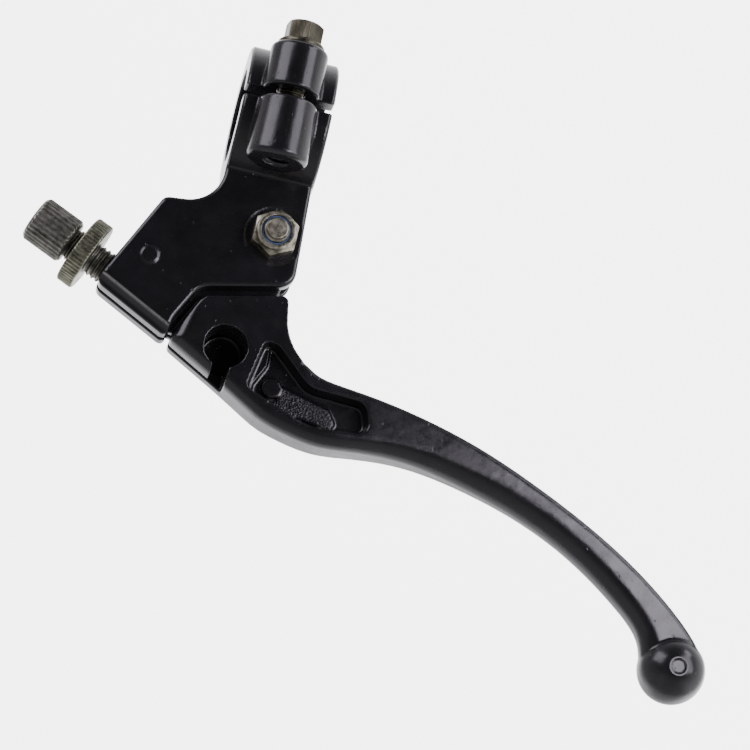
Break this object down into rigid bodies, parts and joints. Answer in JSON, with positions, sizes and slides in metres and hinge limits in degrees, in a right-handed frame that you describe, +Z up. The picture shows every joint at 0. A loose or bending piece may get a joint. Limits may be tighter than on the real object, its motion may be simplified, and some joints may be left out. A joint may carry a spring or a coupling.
{
  "type": "clutch lever assembly",
  "caption": "Motorcycle clutch lever on a two-bolt handlebar clamp perch, with a ball-ended curved blade, cable nipple hole and threaded cable adjuster with locknut.",
  "frame": {"origin": "centre of the handlebar clamp bore, midway along the clamp", "axes": "+X along the handlebar, outboard towards the lever's ball end; +Y rearward towards the clamp cap and its bolt heads; +Z up along the lever's pivot towards its nut"},
  "size_m": [0.1761, 0.1341, 0.0475],
  "materials": {
    "black_paint": "semi-gloss black paint over the die casting",
    "zinc_steel": "olive-grey zinc plate",
    "bush_steel": "bright turned steel",
    "nylon": "pale blue nylon"
  },
  "bodies": {
    "perch": {"perch_body": "black_paint", "clamp_cap": "black_paint", "clamp_bolt_upper": "zinc_steel", "clamp_bolt_lower": "zinc_steel", "pivot_bolt": "zinc_steel", "pivot_nut": "zinc_steel", "pivot_nut_insert": "nylon"},
    "lever": {"lever": "black_paint", "pivot_bush": "bush_steel"},
    "adjuster": {"cable_adjuster": "zinc_steel"},
    "locknut": {"adjuster_locknut": "zinc_steel"}
  },
  "joints": [
    {"name": "lever_pivot", "type": "hinge", "parent": "perch", "child": "lever", "pos_m": [0.0038, -0.0288, 0], "axis": [0, 0, 1], "range_deg": [0, 30]},
    {"name": "adjuster_travel", "type": "slide", "parent": "perch", "child": "adjuster", "axis": [-0.9164, 0.4003, 0], "range_m": [-0.0014, 0.006]},
    {"name": "locknut_travel", "type": "slide", "parent": "adjuster", "child": "locknut", "axis": [-0.9164, 0.4003, 0], "range_m": [-0.0022, 0.0014]}
  ]
}
